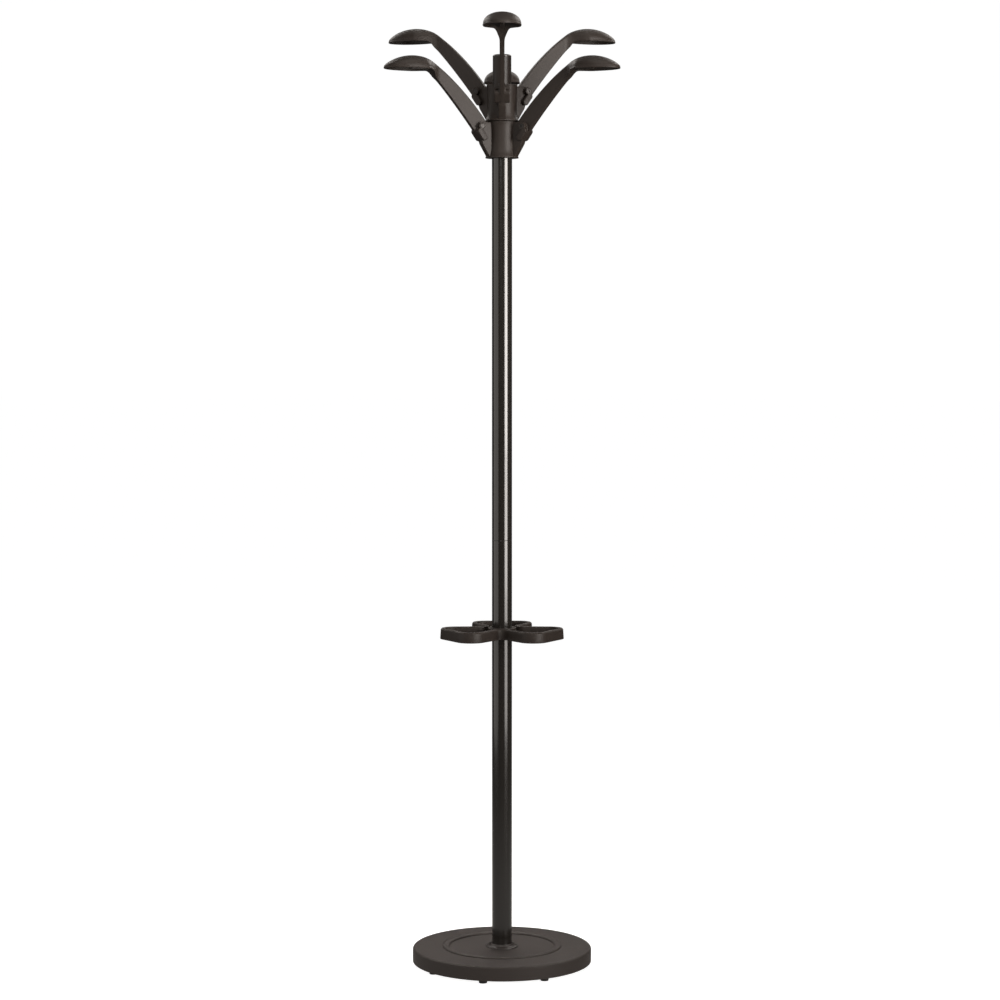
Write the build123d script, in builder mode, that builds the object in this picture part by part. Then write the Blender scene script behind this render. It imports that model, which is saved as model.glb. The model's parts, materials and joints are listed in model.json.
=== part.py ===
"""Standing coat rack: weighted round base, two-piece tube, three-looped umbrella holder and two
turning hubs with three capped arms each.

Frame: the tube's axis is the Z axis, the floor is Z = 0 and the front is -Y. Millimetres.
"""
import math
import os

from build123d import *

# ---------------------------------------------------------------- driving dimensions
# Base
BASE_RADIUS = 171.0
BASE_UNDERSIDE = 7.5  # height of the cover's lower edge above the floor
BASE_EDGE_TOP = 34.5  # height of the cover's top just inside its rounded edge
BASE_WALL = 2.6
BASE_EDGE_ROUND = 4.5
BEAD_RADIUS = 107.0  # radius of the ring bead on the cover
BEAD_HALF_WIDTH = 7.0
BEAD_RISE = 4.0
BAND_RISE = 1.4  # rise of the outer band from the edge to the bead
PLATE_THICKNESS = 1.5
PLATE_LIFT = 9.0  # height of the base plate's lower face above the floor
FIT_GAP = 0.3  # clearance between pieces that only lie beside each other
FOOT_COUNT = 8
FOOT_RING_RADIUS = 152.0
FOOT_RADIUS = 9.0
FOOT_TAPER = 1.5
FOOT_TURN = -13.5  # turn of the first foot from the front
PLATE_SCREW_RING_RADIUS = 118.0
PLATE_SCREW_COUNT = 3
PLATE_SCREW_LENGTH = 16.0
PLATE_SCREW_RADIUS = 2.0
PLATE_SCREW_HEAD = 2.0

# Tubes
TUBE_RADIUS = 19.0
TUBE_WALL = 1.5
TUBE_SEAM_HEIGHT = 815.8
SLIP_GAP = 0.02  # radial clearance of a pressed or slipped-in tube
POST_WALL = 1.5
POST_RISE = 52.6  # free length of the post above the upper hub
POST_DEPTH = 100.0  # length of the post inside the upper tube
COUPLER_LENGTH = 140.0
COUPLER_WALL = 2.0
INSERT_LENGTH = 30.0
BOLT_RADIUS = 5.0
BOLT_HEAD_RADIUS = 8.5
BOLT_HEAD_HEIGHT = 6.4
BOLT_LENGTH = 38.0
WASHER_RADIUS = 12.0
WASHER_THICKNESS = 2.0
COLLAR_HEIGHT = 7.0
COLLAR_FOOT_WALL = 12.0  # how far the collar's foot stands out from the tube
COLLAR_WALL = 4.0
COLLAR_LIP = 1.2
COLLAR_CHAMFER = 0.8
PLUG_HEAD = 4.0
PLUG_CHAMFER = 2.0
PLUG_DEPTH = 18.0

# Hubs
HUB_FOOT_HEIGHT = 1536.8  # height of the lower hub's lower face
HUB_PITCH = 68.7  # distance from one hub to the next
HUB_GAP = 0.8  # open seam between the hubs
HUB_WAIST_WALL = 8.5  # how far the hub stands out from the tube's radius, at waist, foot and top
HUB_FOOT_WALL = 12.3
HUB_TOP_WALL = 11.0
HUB_FLANGE = 2.5
HUB_FLARE = 7.0
HUB_SOCKET_DEPTH = 4.0  # recess in the hub's lower and upper faces
RUN_GAP = 0.06  # radial clearance of a turning or sliding bore
END_GAP = 0.1  # axial clearance of a turning piece
WASHER_SEAT = 0.7  # thickness of the thrust washer
CLIP_THICKNESS = 1.5
CLIP_GROOVE = 0.8
CLIP_REACH = 3.02  # how far the clip stands out from the post
CLIP_OPENING = 9.0

# Lugs that hold the arms (distances from the axis and heights above the hub's lower face)
LUG_WEB_HALF = 6.8
LUG_HALF = 14.5
LUG_ANGLES = (0.0, 120.0, 240.0)
LUG_OUTLINE = [(20, 3), (33, 8), (45.4, 25), (47.5, 31), (56, 44), (59, 50), (57.5, 60), (53, 66), (20, 66)]
TONGUE_TOP = (53.0, 48.5)
TONGUE_FOOT = (44.5, 37.0)
TONGUE_RADIUS = 6.0
SCREW_REACH = 50.0
SCREW_HEIGHT = 58.0
SCREW_BOSS_RADIUS = 6.6
SCREW_RADIUS = 2.5
SCREW_HEAD_RADIUS = 4.4
SCREW_HEAD_HEIGHT = 3.0

# Arms (distances from the axis and heights above the hub's lower face)
ARM_THICKNESS = 9.0
ARM_SLOT_GAP = 0.15
ARM_EDGE_ROUND = 2.0
LONG_EDGE = 60.0  # only the blade's long back and belly edges are rounded
ARM_ROOT_REACH = 23.0
ARM_ROOT_FOOT = 24.0
ARM_ROOT_BACK = 36.5  # where the blade's back edge comes down to the hub's top
ARM_ROOT_DROP = 18.0  # how far the root's inner end lies below that
ARM_BELLY_FOOT_REACH = 42.6
ARM_BELLY_MIDDLE = (101.0, 96.6)
ARM_THROAT_REACH = 155.0  # where the blade's lower edge meets the cap
THROAT_ROUND = 6.0
THROAT_DROP = 5.4
ARM_PANEL_DEPTH = 1.0
ARM_PANEL_MARGIN = 6.0
ARM_PANEL_START = 64.0
ARM_PANEL_END = 146.0
CROWN_SLOPE = 36.0  # slope of the arm's back where its end curve begins
CROWN_RADIUS = 90.0  # curvature of the arm's top over its end
CROWN_REACH = 190.0
CROWN_HEIGHT = 182.6
CAP_REACH = 196.5  # centre of the cap
CAP_RIM_HEIGHT = 160.0
CAP_HALF_LENGTH = 50.5
CAP_HALF_WIDTH = 32.6
CAP_RISE = 23.0
CAP_SINK = 7.0  # how far the dome's own centre lies below its rim
CAP_RIM_DEPTH = 3.0
CAP_WALL = 3.0
WEB_INSET = 0.5  # how far the blade stays inside the cap's rim
CAP_HOLLOW = 6.0
CAP_HOLLOW_TAPER = 25.0

# Umbrella holder
HOLDER_TOP = 650.0
HOLDER_HEIGHT = 20.5
HOLDER_REACH = 112.7
HOLDER_LOBE_HALF = 57.8
HOLDER_CORNER_RADIUS = 28.0
HOLDER_VALLEY_RADIUS = 30.0
HOLDER_VALLEY_ROUND = 12.0
HOLDER_BAR = 8.5
HOLDER_COLLAR_WALL = 8.0
HOLDER_HOLE_ROUND = 4.0
HOLDER_TAPER = 3.0
CLAMP_RADIUS = 3.0
CLAMP_BOSS_RADIUS = 6.0
CLAMP_BOSS_REACH = 33.0
CLAMP_SINK = 1.0  # how far the screw's outer end lies inside its boss

# ---------------------------------------------------------------- sizes that follow
tube_bore = TUBE_RADIUS - TUBE_WALL
post_radius = tube_bore - SLIP_GAP
post_bore = post_radius - POST_WALL
running_bore = post_radius + RUN_GAP
sliding_bore = TUBE_RADIUS + RUN_GAP
hub_height = HUB_PITCH - HUB_GAP
rim_foot = CAP_RIM_HEIGHT - CAP_RIM_DEPTH
web_foot = rim_foot + WEB_INSET
arm_root_top = hub_height - END_GAP
upper_hub_height = HUB_FOOT_HEIGHT + HUB_PITCH
post_top = upper_hub_height + hub_height + POST_RISE
hub_socket_radius = TUBE_RADIUS + FIT_GAP
hub_waist_radius = TUBE_RADIUS + HUB_WAIST_WALL
clip_radius = post_radius + CLIP_REACH
upper_tube_top = HUB_FOOT_HEIGHT + HUB_SOCKET_DEPTH - END_GAP - WASHER_SEAT
cover_ceiling = BASE_EDGE_TOP - BASE_WALL
weight_top = cover_ceiling - SLIP_GAP
weight_foot = PLATE_LIFT + PLATE_THICKNESS + SLIP_GAP
cover_bore_radius = BASE_RADIUS - BASE_WALL
weight_radius = cover_bore_radius - BASE_EDGE_ROUND
collar_foot = BASE_EDGE_TOP + SLIP_GAP

LOWER_ARMS = {"right": -30.0, "left": -150.0, "back": 90.0}
UPPER_ARMS = {"front": -90.0, "right": 30.0, "left": 150.0}


def radial_plane(angle, height):
    """Upright plane through the axis: its X runs outwards at the angle, its Y runs up."""
    turn = math.radians(angle)
    return Plane(
        origin=(0, 0, height),
        x_dir=(math.cos(turn), math.sin(turn), 0),
        z_dir=(math.sin(turn), -math.cos(turn), 0),
    )


def save(part, name):
    """Label a finished piece and write it to its own file."""
    part.label = name
    export_step(part, f"parts/{name}.step")


def turned(profile):
    """Closed half-profile of (radius, height) points, turned round the Z axis."""
    with BuildPart() as piece:
        with BuildSketch(Plane.XZ):
            with BuildLine():
                Polyline(*profile, close=True)
            make_face()
        revolve(axis=Axis.Z)
    return piece.part


def ring(inner, outer, foot, top):
    """Plain ring or tube between two radii and two heights."""
    return turned([(inner, foot), (outer, foot), (outer, top), (inner, top)])


os.makedirs("parts", exist_ok=True)

# ---------------------------------------------------------------- base
bead_top = BASE_EDGE_TOP + BAND_RISE + BEAD_RISE
with BuildPart() as base_cover:
    with BuildSketch(Plane.XZ):
        with BuildLine():
            band = Polyline(
                (sliding_bore + FIT_GAP, BASE_EDGE_TOP),
                (BEAD_RADIUS - BEAD_HALF_WIDTH, BASE_EDGE_TOP),
            )
            bead = ThreePointArc(
                band @ 1,
                (BEAD_RADIUS, bead_top),
                (BEAD_RADIUS + BEAD_HALF_WIDTH, BASE_EDGE_TOP + BAND_RISE),
            )
            slope = Line(bead @ 1, (BASE_RADIUS - BASE_EDGE_ROUND, BASE_EDGE_TOP))
            edge = TangentArc(
                slope @ 1,
                (BASE_RADIUS, BASE_EDGE_TOP - BASE_EDGE_ROUND),
                tangent=(1, 0),
            )
            Polyline(
                edge @ 1,
                (BASE_RADIUS, BASE_UNDERSIDE),
                (cover_bore_radius, BASE_UNDERSIDE),
                (cover_bore_radius, cover_ceiling),
                (sliding_bore + FIT_GAP, cover_ceiling),
                band @ 0,
            )
        make_face()
    revolve(axis=Axis.Z)
save(base_cover.part, "base_cover")

with BuildPart() as base_weight:
    with BuildSketch(Plane.XY.offset(weight_foot)):
        Circle(weight_radius)
        Circle(BOLT_RADIUS + FIT_GAP, mode=Mode.SUBTRACT)
    extrude(amount=weight_top - weight_foot)
    with Locations((0, 0, weight_foot)):
        Cylinder(
            WASHER_RADIUS + FIT_GAP,
            BOLT_HEAD_HEIGHT + WASHER_THICKNESS,
            align=(Align.CENTER, Align.CENTER, Align.MIN),
            mode=Mode.SUBTRACT,
        )
    with Locations((0, 0, weight_foot)), PolarLocations(PLATE_SCREW_RING_RADIUS, PLATE_SCREW_COUNT):
        Cylinder(
            PLATE_SCREW_RADIUS,
            PLATE_SCREW_LENGTH,
            align=(Align.CENTER, Align.CENTER, Align.MIN),
            mode=Mode.SUBTRACT,
        )
save(base_weight.part, "base_weight")

with BuildPart() as base_plate:
    with BuildSketch(Plane.XY.offset(PLATE_LIFT)):
        Circle(cover_bore_radius - FIT_GAP)
        Circle(WASHER_RADIUS + FIT_GAP, mode=Mode.SUBTRACT)
        with PolarLocations(PLATE_SCREW_RING_RADIUS, PLATE_SCREW_COUNT):
            Circle(PLATE_SCREW_RADIUS + FIT_GAP, mode=Mode.SUBTRACT)
    extrude(amount=PLATE_THICKNESS)
save(base_plate.part, "base_plate")

with BuildPart() as rubber_feet:
    with PolarLocations(FOOT_RING_RADIUS, FOOT_COUNT, start_angle=FOOT_TURN - 90):
        Cone(
            FOOT_RADIUS - FOOT_TAPER,
            FOOT_RADIUS,
            PLATE_LIFT,
            align=(Align.CENTER, Align.CENTER, Align.MIN),
        )
save(rubber_feet.part, "rubber_feet")

with BuildPart() as plate_screws:
    with Locations((0, 0, PLATE_LIFT)), PolarLocations(PLATE_SCREW_RING_RADIUS, PLATE_SCREW_COUNT):
        Cylinder(
            2 * PLATE_SCREW_RADIUS,
            PLATE_SCREW_HEAD,
            align=(Align.CENTER, Align.CENTER, Align.MAX),
        )
        Cylinder(
            PLATE_SCREW_RADIUS - SLIP_GAP,
            PLATE_SCREW_LENGTH,
            align=(Align.CENTER, Align.CENTER, Align.MIN),
        )
save(plate_screws.part, "plate_screws")

# The base bolt: its head and washer sit in the weight's counterbore and its shank pulls the tube
# down on the weight.
washer_top = weight_foot + BOLT_HEAD_HEIGHT + WASHER_THICKNESS
save(
    ring(BOLT_RADIUS + SLIP_GAP, WASHER_RADIUS, washer_top - WASHER_THICKNESS, washer_top),
    "base_washer",
)
with BuildPart() as base_bolt:
    with BuildSketch(Plane.XY.offset(weight_foot)):
        RegularPolygon(BOLT_HEAD_RADIUS, 6, major_radius=False)
    extrude(amount=BOLT_HEAD_HEIGHT)
    with BuildSketch(Plane.XY.offset(weight_foot + BOLT_HEAD_HEIGHT)):
        Circle(BOLT_RADIUS)
    extrude(amount=BOLT_LENGTH)
save(base_bolt.part, "base_bolt")

collar_top = collar_foot + COLLAR_HEIGHT
collar_neck_radius = TUBE_RADIUS + COLLAR_WALL
collar_foot_radius = TUBE_RADIUS + COLLAR_FOOT_WALL
with BuildPart() as tube_collar:
    with BuildSketch(Plane.XZ):
        with BuildLine():
            foot = Line((sliding_bore, collar_foot), (collar_foot_radius, collar_foot))
            lip = Line(foot @ 1, (collar_foot_radius, collar_foot + COLLAR_LIP))
            flare = TangentArc(
                (collar_neck_radius, collar_top - COLLAR_CHAMFER),
                lip @ 1,
                tangent=(0, -1),
            )
            Polyline(
                flare @ 0,
                (collar_neck_radius - COLLAR_CHAMFER, collar_top),
                (sliding_bore, collar_top),
                foot @ 0,
            )
        make_face()
    revolve(axis=Axis.Z)
save(tube_collar.part, "tube_collar")

# ---------------------------------------------------------------- tubes and post
tube_foot = weight_top + SLIP_GAP
save(ring(tube_bore, TUBE_RADIUS, tube_foot, TUBE_SEAM_HEIGHT), "lower_tube")
save(ring(tube_bore, TUBE_RADIUS, TUBE_SEAM_HEIGHT, upper_tube_top), "upper_tube")
save(ring(BOLT_RADIUS + SLIP_GAP, post_radius, tube_foot, tube_foot + INSERT_LENGTH), "tube_insert")
save(
    ring(
        post_radius - COUPLER_WALL,
        post_radius,
        TUBE_SEAM_HEIGHT - COUPLER_LENGTH / 2,
        TUBE_SEAM_HEIGHT + COUPLER_LENGTH / 2,
    ),
    "tube_coupler",
)

clip_height = upper_hub_height + hub_height - HUB_SOCKET_DEPTH + END_GAP
with BuildPart() as head_post:
    with BuildSketch(Plane.XY.offset(upper_tube_top - POST_DEPTH)):
        Circle(post_radius)
        Circle(post_bore, mode=Mode.SUBTRACT)
    extrude(amount=post_top - upper_tube_top + POST_DEPTH)
    with BuildSketch(Plane.XY.offset(clip_height - SLIP_GAP)):
        Circle(post_radius + FIT_GAP)
        Circle(post_radius - CLIP_GROOVE, mode=Mode.SUBTRACT)
    extrude(amount=CLIP_THICKNESS + 2 * SLIP_GAP, mode=Mode.SUBTRACT)
save(head_post.part, "head_post")

save(
    turned(
        [
            (0, post_top - PLUG_DEPTH),
            (post_bore - SLIP_GAP, post_top - PLUG_DEPTH),
            (post_bore - SLIP_GAP, post_top),
            (post_radius, post_top),
            (post_radius, post_top + PLUG_HEAD - PLUG_CHAMFER),
            (post_radius - PLUG_CHAMFER, post_top + PLUG_HEAD),
            (0, post_top + PLUG_HEAD),
        ]
    ),
    "post_plug",
)

# ---------------------------------------------------------------- bearings of the hubs
save(ring(running_bore, TUBE_RADIUS, upper_tube_top, upper_tube_top + WASHER_SEAT), "thrust_washer")
save(
    ring(
        running_bore,
        TUBE_RADIUS,
        upper_hub_height - HUB_GAP - HUB_SOCKET_DEPTH + END_GAP,
        upper_hub_height + HUB_SOCKET_DEPTH - END_GAP,
    ),
    "hub_bush",
)
with BuildPart() as retaining_clip:
    with BuildSketch(Plane.XY.offset(clip_height)):
        Circle(clip_radius)
        Circle(post_radius - CLIP_GROOVE + SLIP_GAP, mode=Mode.SUBTRACT)
        with Locations((0, clip_radius)):
            Rectangle(CLIP_OPENING, clip_radius, mode=Mode.SUBTRACT)
    extrude(amount=CLIP_THICKNESS)
save(retaining_clip.part, "retaining_clip")


# ---------------------------------------------------------------- arms and hubs
def arm_outline():
    """Side view of an arm's blade as a closed line: distance from the axis across, height up."""
    crown_centre = CROWN_HEIGHT - CROWN_RADIUS
    slope = math.radians(CROWN_SLOPE)
    crown_start = (
        CROWN_REACH - CROWN_RADIUS * math.sin(slope),
        crown_centre + CROWN_RADIUS * math.cos(slope),
    )
    crown_end = (CAP_REACH, CAP_RIM_HEIGHT + CAP_RISE - CAP_WALL)
    throat_middle = (ARM_THROAT_REACH + THROAT_ROUND / 4, web_foot - THROAT_ROUND / 3)
    throat_end = (ARM_THROAT_REACH - THROAT_ROUND / 2, web_foot - THROAT_DROP)
    crown_middle_reach = (crown_start[0] + crown_end[0]) / 2
    crown_middle = (
        crown_middle_reach,
        crown_centre + math.sqrt(CROWN_RADIUS**2 - (CROWN_REACH - crown_middle_reach) ** 2),
    )
    with BuildLine() as outline:
        back = TangentArc(
            crown_start,
            (ARM_ROOT_BACK, arm_root_top),
            tangent=(-math.cos(slope), -math.sin(slope)),
        )
        crown = ThreePointArc(back @ 0, crown_middle, crown_end)
        web = Polyline(crown @ 1, (CAP_REACH, web_foot), (ARM_THROAT_REACH + THROAT_ROUND, web_foot))
        throat = ThreePointArc(web @ 1, throat_middle, throat_end)
        belly = ThreePointArc(throat @ 1, ARM_BELLY_MIDDLE, (ARM_BELLY_FOOT_REACH, ARM_ROOT_FOOT))
        Polyline(
            belly @ 1,
            (ARM_ROOT_REACH, ARM_ROOT_FOOT),
            (ARM_ROOT_REACH, arm_root_top - ARM_ROOT_DROP),
            back @ 1,
        )
    return outline.line


ARM_OUTLINE = arm_outline()


def cap_dome():
    """Top of an ellipsoid above the cap's rim; its own centre is the origin."""
    height = CAP_RISE + CAP_SINK
    spread = 1 / math.sqrt(1 - (CAP_SINK / height) ** 2)
    with BuildPart() as dome:
        Sphere(1.0)
        scale(by=(spread * CAP_HALF_LENGTH, spread * CAP_HALF_WIDTH, height))
        split(bisect_by=Plane.XY.offset(CAP_SINK))
    return dome.part


side = radial_plane(0, 0)

with BuildPart() as blade:
    with BuildSketch(side):
        with BuildLine():
            add(ARM_OUTLINE)
        make_face()
    extrude(amount=ARM_THICKNESS / 2, both=True)
    fillet([edge for edge in edges() if edge.length > LONG_EDGE], ARM_EDGE_ROUND)
    for face_side in (1, -1):
        with BuildSketch(side.offset(face_side * ARM_THICKNESS / 2)):
            with BuildLine():
                add(ARM_OUTLINE)
            make_face()
            offset(amount=-ARM_PANEL_MARGIN, mode=Mode.REPLACE)
            with Locations(((ARM_PANEL_START + ARM_PANEL_END) / 2, arm_root_top)):
                Rectangle(ARM_PANEL_END - ARM_PANEL_START, 4 * arm_root_top, mode=Mode.INTERSECT)
        extrude(amount=-face_side * ARM_PANEL_DEPTH, mode=Mode.SUBTRACT)
    with BuildSketch(side):
        with Locations((SCREW_REACH, SCREW_HEIGHT)):
            Circle(SCREW_RADIUS + SLIP_GAP)
    extrude(amount=ARM_THICKNESS, both=True, mode=Mode.SUBTRACT)

with BuildPart() as arm:
    with Locations((CAP_REACH, 0, CAP_RIM_HEIGHT - CAP_SINK)):
        add(cap_dome())
    with BuildSketch(Plane.XY.offset(rim_foot)):
        with Locations((CAP_REACH, 0)):
            Ellipse(CAP_HALF_LENGTH, CAP_HALF_WIDTH)
    extrude(amount=CAP_RIM_DEPTH)
    with BuildSketch(Plane.XY.offset(rim_foot)):
        with Locations((CAP_REACH, 0)):
            Ellipse(CAP_HALF_LENGTH - CAP_WALL, CAP_HALF_WIDTH - CAP_WALL)
    extrude(amount=CAP_HOLLOW, taper=CAP_HOLLOW_TAPER, mode=Mode.SUBTRACT)
    add(blade.part)

with BuildPart() as hub:
    with BuildSketch(side):
        with BuildLine():
            foot = Line((0, 0), (TUBE_RADIUS + HUB_FOOT_WALL, 0))
            flange = Line(foot @ 1, (TUBE_RADIUS + HUB_FOOT_WALL, HUB_FLANGE))
            flare = TangentArc(
                (hub_waist_radius, HUB_FLANGE + HUB_FLARE), flange @ 1, tangent=(0, -1)
            )
            waist = Line(flare @ 0, (hub_waist_radius, hub_height - HUB_FLANGE - HUB_FLARE))
            rim = Line(
                (TUBE_RADIUS + HUB_TOP_WALL, hub_height - HUB_FLANGE),
                (TUBE_RADIUS + HUB_TOP_WALL, hub_height),
            )
            TangentArc(waist @ 1, rim @ 0, tangent=(0, 1))
            Polyline(rim @ 1, (0, hub_height), foot @ 0)
        make_face()
    revolve(axis=Axis.Z)
    for lug_angle in LUG_ANGLES:
        lug_side = radial_plane(lug_angle, 0)
        with BuildSketch(lug_side):
            with BuildLine():
                Polyline(*LUG_OUTLINE, close=True)
            make_face()
        extrude(amount=LUG_WEB_HALF, both=True)
        with BuildSketch(lug_side):
            for tongue_end in (TONGUE_TOP, TONGUE_FOOT):
                with Locations(tongue_end):
                    Circle(TONGUE_RADIUS)
            make_hull()
        extrude(amount=LUG_HALF, both=True)
        with BuildSketch(lug_side):
            with Locations((SCREW_REACH, SCREW_HEIGHT)):
                Circle(SCREW_BOSS_RADIUS)
        extrude(amount=LUG_HALF, both=True)
    for lug_angle in LUG_ANGLES:
        lug_side = radial_plane(lug_angle, 0)
        with BuildSketch(lug_side):
            with BuildLine():
                add(ARM_OUTLINE)
            make_face()
            offset(amount=ARM_SLOT_GAP, mode=Mode.REPLACE)
        extrude(amount=ARM_THICKNESS / 2 + ARM_SLOT_GAP, both=True, mode=Mode.SUBTRACT)
        with BuildSketch(lug_side):
            with Locations((SCREW_REACH, SCREW_HEIGHT)):
                Circle(SCREW_RADIUS + SLIP_GAP)
        extrude(amount=LUG_HALF, both=True, mode=Mode.SUBTRACT)
        for face_side in (1, -1):
            with BuildSketch(lug_side.offset(face_side * LUG_HALF)):
                with Locations((SCREW_REACH, SCREW_HEIGHT)):
                    Circle(SCREW_HEAD_RADIUS + SLIP_GAP)
            extrude(amount=-face_side * SCREW_HEAD_HEIGHT, mode=Mode.SUBTRACT)
    with BuildSketch(Plane.XY):
        Circle(running_bore)
    extrude(amount=hub_height, mode=Mode.SUBTRACT)
    with BuildSketch(Plane.XY):
        Circle(hub_socket_radius)
    extrude(amount=HUB_SOCKET_DEPTH, mode=Mode.SUBTRACT)
    with BuildSketch(Plane.XY.offset(hub_height)):
        Circle(clip_radius + FIT_GAP)
    extrude(amount=-HUB_SOCKET_DEPTH, mode=Mode.SUBTRACT)

head_side = side.offset(LUG_HALF)
with BuildPart() as cross_screw:
    with BuildSketch(head_side):
        with Locations((SCREW_REACH, SCREW_HEIGHT)):
            Circle(SCREW_HEAD_RADIUS)
    extrude(amount=-SCREW_HEAD_HEIGHT)
    with BuildSketch(head_side):
        with Locations((SCREW_REACH, SCREW_HEIGHT)):
            Circle(SCREW_RADIUS)
    extrude(amount=-2 * LUG_HALF)
    with BuildSketch(head_side):
        with Locations((SCREW_REACH, SCREW_HEIGHT)):
            RegularPolygon(SCREW_RADIUS, 6)
    extrude(amount=-SCREW_HEAD_HEIGHT / 2, mode=Mode.SUBTRACT)

with BuildPart() as cross_nut:
    with BuildSketch(side.offset(-LUG_HALF)):
        with Locations((SCREW_REACH, SCREW_HEIGHT)):
            RegularPolygon(SCREW_HEAD_RADIUS, 6)
            Circle(SCREW_RADIUS + SLIP_GAP, mode=Mode.SUBTRACT)
    extrude(amount=SCREW_HEAD_HEIGHT)


def placed(shape, angles, height):
    """The shape turned to each angle round the axis and raised to the height, as one part."""
    with BuildPart() as group:
        for angle in angles:
            with Locations(Location((0, 0, height), (0, 0, angle))):
                add(shape)
    return group.part


TIERS = {
    "lower": (LOWER_ARMS, HUB_FOOT_HEIGHT),
    "upper": (UPPER_ARMS, upper_hub_height),
}
for tier, (arm_angles, tier_height) in TIERS.items():
    angles = list(arm_angles.values())
    save(placed(hub.part, angles[:1], tier_height), f"{tier}_hub")
    save(placed(cross_screw.part, angles, tier_height), f"{tier}_arm_screws")
    save(placed(cross_nut.part, angles, tier_height), f"{tier}_arm_nuts")
    for place, angle in arm_angles.items():
        save(placed(arm.part, [angle], tier_height), f"{tier}_arm_{place}")

# ---------------------------------------------------------------- umbrella holder
corner_reach = HOLDER_REACH - HOLDER_CORNER_RADIUS
corner_side = HOLDER_LOBE_HALF - HOLDER_CORNER_RADIUS
valley_reach = HOLDER_VALLEY_RADIUS * math.cos(math.radians(60))
valley_side = HOLDER_VALLEY_RADIUS * math.sin(math.radians(60))


def lobe(angle, inset):
    """Flat outline of one lobe: two rounded outer corners joined to the valleys at its root."""
    with BuildSketch(Plane.XY.rotated((0, 0, angle))) as flat:
        with Locations((corner_reach, corner_side), (corner_reach, -corner_side)):
            Circle(HOLDER_CORNER_RADIUS)
        Rectangle(2 * valley_reach, 2 * valley_side)
        make_hull()
        if inset:
            offset(amount=-inset, mode=Mode.REPLACE)
            Circle(TUBE_RADIUS + HOLDER_COLLAR_WALL, mode=Mode.SUBTRACT)
            fillet(vertices(), HOLDER_HOLE_ROUND)
    return flat.sketch


clamp_height = HOLDER_TOP - HOLDER_HEIGHT + CLAMP_BOSS_RADIUS
with BuildPart() as umbrella_holder:
    with BuildSketch(Plane.XY.offset(HOLDER_TOP)):
        for lobe_angle in LOWER_ARMS.values():
            add(lobe(lobe_angle, 0))
        fillet(
            [corner for corner in vertices() if corner.center().length < 1.2 * HOLDER_VALLEY_RADIUS],
            HOLDER_VALLEY_ROUND,
        )
    extrude(amount=-HOLDER_HEIGHT, taper=-HOLDER_TAPER)
    with BuildSketch(Plane.XY.offset(HOLDER_TOP)):
        for lobe_angle in LOWER_ARMS.values():
            add(lobe(lobe_angle, HOLDER_BAR))
    extrude(amount=-HOLDER_HEIGHT, mode=Mode.SUBTRACT)
    with BuildSketch(radial_plane(0, clamp_height)):
        Circle(CLAMP_BOSS_RADIUS)
    extrude(amount=CLAMP_BOSS_REACH)
    with BuildSketch(radial_plane(0, clamp_height)):
        Circle(CLAMP_RADIUS + SLIP_GAP)
    extrude(amount=2 * CLAMP_BOSS_REACH, mode=Mode.SUBTRACT)
    with BuildSketch(Plane.XY.offset(HOLDER_TOP)):
        Circle(sliding_bore)
    extrude(amount=-HOLDER_HEIGHT, mode=Mode.SUBTRACT)
save(umbrella_holder.part, "umbrella_holder")

with BuildPart() as holder_screw:
    with BuildSketch(radial_plane(0, clamp_height).offset(sliding_bore)):
        Circle(CLAMP_RADIUS)
    extrude(amount=CLAMP_BOSS_REACH - sliding_bore - CLAMP_SINK)
    with BuildSketch(radial_plane(0, clamp_height).offset(CLAMP_BOSS_REACH - CLAMP_SINK)):
        RegularPolygon(CLAMP_RADIUS / 2, 6)
    extrude(amount=-CLAMP_RADIUS, mode=Mode.SUBTRACT)
save(holder_screw.part, "holder_screw")
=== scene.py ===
# %% [markdown]
# # A standing coat rack
# The CAD model gives every piece its place and its real size. This lesson keeps that frame and gives the
# rack its looks: finer surfaces where light catches an edge, and a finish for every piece.
# The tube's axis is the Z axis, the floor is Z = 0 and the front is -Y.

# %% Load the frame
import json
import math

import bmesh
import bpy
import numpy as np
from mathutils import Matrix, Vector


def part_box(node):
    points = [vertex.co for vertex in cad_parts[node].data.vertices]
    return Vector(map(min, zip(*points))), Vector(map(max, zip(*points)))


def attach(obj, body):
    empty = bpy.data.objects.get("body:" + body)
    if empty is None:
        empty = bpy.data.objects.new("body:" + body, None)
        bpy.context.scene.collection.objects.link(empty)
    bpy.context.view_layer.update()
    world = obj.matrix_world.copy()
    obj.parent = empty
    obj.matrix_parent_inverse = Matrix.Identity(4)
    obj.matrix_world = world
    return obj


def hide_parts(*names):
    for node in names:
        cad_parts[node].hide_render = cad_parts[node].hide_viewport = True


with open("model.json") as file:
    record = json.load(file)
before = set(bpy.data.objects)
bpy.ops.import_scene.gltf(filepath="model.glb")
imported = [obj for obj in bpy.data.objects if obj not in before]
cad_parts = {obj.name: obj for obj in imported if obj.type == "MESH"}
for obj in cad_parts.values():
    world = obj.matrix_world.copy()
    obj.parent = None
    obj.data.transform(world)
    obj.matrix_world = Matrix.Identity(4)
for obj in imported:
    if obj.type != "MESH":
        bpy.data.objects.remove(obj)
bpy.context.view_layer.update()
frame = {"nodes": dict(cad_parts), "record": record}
nodes = frame["nodes"]

# %% [markdown]
# ## Camera
# A long lens from five metres keeps the upright tube straight. It stands at chest height and looks a
# little down, so that the base shows its top and the six caps keep their side view.

# %% Camera
camera_data = bpy.data.cameras.new("camera")
camera_data.lens = 96.12
camera_data.sensor_width = 36.0
camera = bpy.data.objects.new("camera", camera_data)
camera.location = (-0.0038, -5.057, 1.224)
camera.rotation_euler = (math.radians(86.247), 0.0, 0.0)
bpy.context.scene.collection.objects.link(camera)
bpy.context.scene.camera = camera
print("camera", tuple(round(value, 3) for value in camera.location))
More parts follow.
